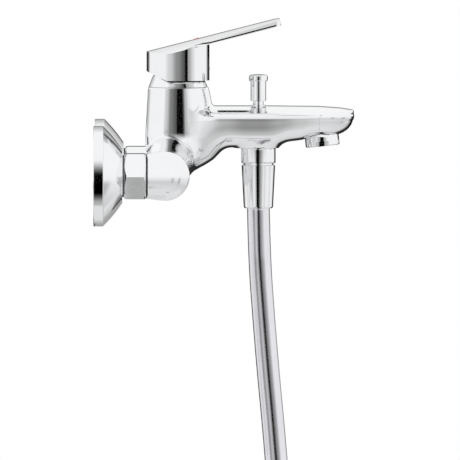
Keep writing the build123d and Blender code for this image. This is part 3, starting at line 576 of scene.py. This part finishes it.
def combine(tree, how, *values):
    """Math node on numbers and sockets."""
    made = tree.nodes.new("ShaderNodeMath")
    made.operation = how
    for socket, value in zip(made.inputs, values):
        if isinstance(value, (int, float)):
            socket.default_value = value
        else:
            tree.links.new(value, socket)
    return made.outputs["Value"]


def coordinates(tree, kind):
    place = tree.nodes.new("ShaderNodeTexCoord")
    split = tree.nodes.new("ShaderNodeSeparateXYZ")
    tree.links.new(place.outputs[kind], split.inputs["Vector"])
    return split.outputs["X"], split.outputs["Y"], split.outputs["Z"]


def room_reflection(tree):
    """White above, greyer below, and dark beyond the faucet from below up to its own level."""
    x, y, z = coordinates(tree, "Generated")
    # heights: 0 straight down, 0.5 level, 1 straight up; sides: 0 by the camera, 1 behind the faucet
    height = combine(tree, "MULTIPLY_ADD", z, 0.5, 0.5)
    side = combine(tree, "MULTIPLY_ADD", x, 0.5, 0.5)
    low = ramp(tree, [(0.0, 0.8), (0.1, 0.74), (0.25, 0.68), (0.4, 0.86), (0.475, 0.97), (0.6, 1.0)], height)
    # the far side, dark from below up to the height of the eye
    under = ramp(tree, [(0.09, 0.0), (0.22, 1.0), (0.487, 1.0), (0.5, 0.45), (0.525, 0.0)], height)
    wide = ramp(tree, [(0.77, 0.0), (0.9, 0.97)], side)
    # straight behind the faucet, level with it
    close = combine(tree, "MULTIPLY", ramp(tree, [(0.945, 0.0), (0.982, 0.8), (1.0, 0.9)], side),
                    ramp(tree, [(0.4, 0.0), (0.45, 1.0), (0.56, 1.0), (0.7, 0.0)], height))
    # upright dark strips at every eighth of a turn, low down, but not by the camera
    eighths = combine(tree, "MULTIPLY", combine(tree, "ARCTAN2", y, x), 8.0)
    strips = combine(tree, "MULTIPLY", ramp(tree, [(0.0, 0.0), (1.0, 0.4)], combine(tree, "COSINE", eighths)),
                     ramp(tree, [(0.2, 0.0), (0.33, 1.0), (0.4, 1.0), (0.48, 0.0)], height))
    strips = combine(tree, "MULTIPLY", strips, ramp(tree, [(0.05, 0.0), (0.2, 1.0)], side))
    dark = combine(tree, "MAXIMUM", combine(tree, "MULTIPLY", under, wide), close)
    dark = combine(tree, "MAXIMUM", dark, strips)
    return combine(tree, "MULTIPLY", low, combine(tree, "SUBTRACT", 1.0, dark))


def make_room():
    """White world for the light, with the darker room in the reflections only."""
    room = bpy.data.worlds.new("room")
    bpy.context.scene.world = room
    room.use_nodes = True
    tree = room.node_tree
    path = tree.nodes.new("ShaderNodeLightPath")
    choice = tree.nodes.new("ShaderNodeMix")
    choice.data_type = "RGBA"
    tree.links.new(path.outputs["Is Glossy Ray"], choice.inputs["Factor"])
    colours = {socket.name: socket for socket in choice.inputs if socket.type == "RGBA"}
    colours["A"].default_value = (1.0, 1.0, 1.0, 1.0)
    tree.links.new(room_reflection(tree), colours["B"])
    result = [socket for socket in choice.outputs if socket.type == "RGBA"][0]
    tree.links.new(result, tree.nodes["Background"].inputs["Color"])


make_room()

# ---- Paints of the stage's planes. Each glows by itself, so that no shadow falls on it.


def empty_material(name):
    made = bpy.data.materials.new(name)
    made.use_nodes = True
    made.node_tree.nodes.clear()
    return made


def glow(tree, grey):
    made = tree.nodes.new("ShaderNodeEmission")
    made.inputs["Color"].default_value = (grey, grey, grey, 1.0)
    return made.outputs["Emission"]


def finish_paint(tree, shader):
    out = tree.nodes.new("ShaderNodeOutputMaterial")
    tree.links.new(shader, out.inputs["Surface"])


def mix_shaders(tree, share, first, second):
    """The first shader where the share is 0, the second where it is 1."""
    made = tree.nodes.new("ShaderNodeMixShader")
    for socket, source in zip(made.inputs, (share, first, second)):
        tree.links.new(source, socket)
    return made.outputs["Shader"]


def see_through(tree):
    return tree.nodes.new("ShaderNodeBsdfTransparent").outputs["BSDF"]


def backfacing(tree):
    return tree.nodes.new("ShaderNodeNewGeometry").outputs["Backfacing"]


def glow_paint(name, grey):
    made = empty_material(name)
    finish_paint(made.node_tree, glow(made.node_tree, grey))
    return made


# ---- Dark flags, painted reflections. Each is a dark sheet seen from the faucet's side only, as a soft dark band painted into the chrome.

BEND_Z = -48.0        # mm, row height where the hose starts to lean forwards
EVERYWHERE = ((0.0, 1.0), (1.0, 1.0))


def flag_paint(name, low, high, across, upright, lean, seen_from_behind):
    made = empty_material(name)
    tree = made.node_tree
    _, y, z = coordinates(tree, "Object")
    near, far = across[0][0], across[-1][0]
    bend = combine(tree, "MAXIMUM", combine(tree, "SUBTRACT", BEND_Z * MM, z), 0.0)
    straight = combine(tree, "ADD", y, combine(tree, "MULTIPLY", bend, lean))
    along = combine(tree, "MULTIPLY_ADD", straight, 1 / ((far - near) * MM), -near / (far - near))
    up = combine(tree, "MULTIPLY_ADD", z, 1 / ((high - low) * MM), -(low + LIFT) / (high - low))
    cover = combine(tree, "MULTIPLY",
                    ramp(tree, [((y - near) / (far - near), grey) for y, grey in across], along),
                    ramp(tree, upright, up))
    side = backfacing(tree)
    if seen_from_behind:
        side = combine(tree, "SUBTRACT", 1.0, side)
    cover = combine(tree, "MULTIPLY", cover, side)
    finish_paint(tree, mix_shaders(tree, cover, see_through(tree), glow(tree, 0.0)))
    return made


def flag(name, x, low, high, across, upright=EVERYWHERE, lean=0.0, seen_from_behind=True):
    """Dark flag facing the faucet. across and upright give its cover by y in mm and by height,
    and below the hose's first bend it leans by the given slope."""
    paint = flag_paint(name, low, high, across, upright, lean, seen_from_behind)
    near, far = across[0][0], across[-1][0]
    shift = lean * max(BEND_Z - LIFT - low, 0.0)
    only_reflected(flat(name, [at(x, near - shift, low), at(x, far, low), at(x, far, high),
                               at(x, near, high)], paint))


def even(middle, *stops):
    """The same cover on both sides of the middle, from (distance, cover) pairs."""
    return ([(middle - away, grey) for away, grey in reversed(stops)]
            + [(middle + away, grey) for away, grey in stops])


# each flag below paints a dark reflection band on the part it is named for
flag("column_flag", -24.8, 22.0, 61.0,
     [(-73.0, 0.0), (-69.0, 0.12), (-65.3, 0.48), (-62.8, 0.95), (-62.2, 1.0), (-57.8, 1.0), (-56.8, 0.9),
      (-52.0, 0.78), (-46.5, 0.35), (-40.0, 0.0)],
     ((0.05, 0.0), (0.17, 1.0), (1.0, 1.0)))
flag("skirt_flag", -26.5, 62.0, 88.0,
     [(-90.0, 0.0), (-80.0, 0.2), (-69.9, 0.6), (-68.9, 1.0), (-66.2, 1.0), (-65.0, 0.9), (-58.0, 0.72),
      (-50.0, 0.3), (-41.0, 0.0)])
flag("hose_flag", -14.5, -330.0, -26.0,
     [(-130.0, 0.0), (-123.0, 0.35), (-119.5, 0.62), (-117.2, 0.72), (-116.3, 1.0), (-113.2, 1.0),
      (-112.4, 0.6), (-109.5, 0.2), (-106.0, 0.5), (-100.0, 0.7), (-98.0, 0.0)], lean=0.083)
flag("nut_painted_reflection", -14.6, -25.5, 16.0,
     [(-121.0, 0.0), (-118.0, 0.45), (-115.6, 0.8), (-115.0, 1.0), (-112.5, 1.0), (-111.9, 0.5),
      (-109.5, 0.0)])
flag("spout_flag", -28.5, 4.0, 36.5, even(-111.0, (6.0, 0.62), (20.0, 0.42), (34.0, 0.14), (48.0, 0.0)),
     ((0.0, 0.0), (0.4, 0.45), (0.8, 0.9), (1.0, 1.0)))
flag("knob_flag", -10.5, 46.0, 69.5,
     [(-121.0, 0.0), (-117.0, 0.5), (-115.4, 0.9), (-115.2, 1.0), (-113.8, 1.0), (-113.2, 0.5),
      (-108.0, 0.0)])
flag("aerator_flag", -14.6, 15.0, 25.0, even(AERATOR_Y, (1.4, 1.0), (2.4, 0.5), (7.0, 0.0)))
flag("rim_flag", -112.5, -52.0, 20.0, [(-12.0, 0.0), (-11.0, 1.0), (3.0, 1.0), (4.0, 0.0)],
     ((0.0, 0.0), (0.3, 0.4), (0.54, 1.0), (0.75, 1.0), (0.97, 0.0)))
flag("nut_flag", -200.0, -260.0, -150.0, [(-40.0, 0.0), (-37.0, 0.45), (-21.0, 0.45), (-18.0, 0.0)])
flag("lever_painted_reflection", -48.0, 86.0, 150.0, [(-170.0, 0.32), (-120.0, 0.26), (-80.0, 0.1), (-62.0, 0.0)],
     ((0.0, 0.0), (0.15, 1.0), (0.6, 1.0), (1.0, 0.0)))
flag("nose_flag", 20.0, 24.0, 45.0, [(-198.0, 0.0), (-192.0, 1.0), (-178.0, 1.0), (-175.0, 0.0)],
     seen_from_behind=False)
flag("lever_shade", 26.0, 77.0, 93.0, [(-112.0, 0.0), (-105.0, 1.0), (-86.0, 1.0), (-81.0, 0.0)],
     ((0.0, 0.0), (0.2, 1.0), (0.85, 1.0), (1.0, 0.0)), seen_from_behind=False)

# ---- Dark strip just off the lever's lower edge, seen only in reflections: a painted reflection which draws the edge at rest

STRIP = [(-21.3, -64.2, 86.2), (-21.0, -67.2, 88.0), (-19.9, -73.3, 89.6), (-18.5, -80.9, 90.5),
         (-14.0, -127.5, 102.5)]
STRIP_HEIGHT = 1.0


def raised(point):
    x, y, z = point
    return at(x, y, z + STRIP_HEIGHT)


strip_paint = glow_paint("dark_strip", 0.0)
for index, (start, end) in enumerate(zip(STRIP, STRIP[1:])):
    only_reflected(flat(f"strip_{index}", [at(*start), at(*end), raised(end), raised(start)], strip_paint))

# ---- Pale cards, glowing planes seen only in reflections, painted light reflections: between the cover plates, under the spout, past the lever's skirt


def card(name, grey, x, near, far, low, high):
    only_reflected(flat(name, [at(x, near, low), at(x, far, low), at(x, far, high), at(x, near, high)],
                        glow_paint(name, grey)))


card("cover_card", 0.72, -30.0, -55.0, -0.5, -140.0, -22.0)
card("coil_card", 0.8, -30.0, -150.0, -56.0, -300.0, -60.0)
card("skirt_card", 1.0, 22.5, -86.0, -79.4, 63.0, 91.0)

# ---- White wall that the faucet hangs on, seen from the room only

WALL_Y = 0.0003       # m, just behind the cover plates
WALL_REACH = 40.0
WALL_TOP = 6.0


def wall_paint():
    made = empty_material("white_wall")
    tree = made.node_tree
    finish_paint(tree, mix_shaders(tree, backfacing(tree), glow(tree, 1.0), see_through(tree)))
    return made


wall = flat("wall", [(-WALL_REACH, WALL_Y, FLOOR_Z), (WALL_REACH, WALL_Y, FLOOR_Z),
                     (WALL_REACH, WALL_Y, WALL_TOP), (-WALL_REACH, WALL_Y, WALL_TOP)], wall_paint())
wall.visible_glossy = False
wall.visible_diffuse = False
wall.visible_shadow = False

bpy.context.scene.view_settings.view_transform = "Standard"
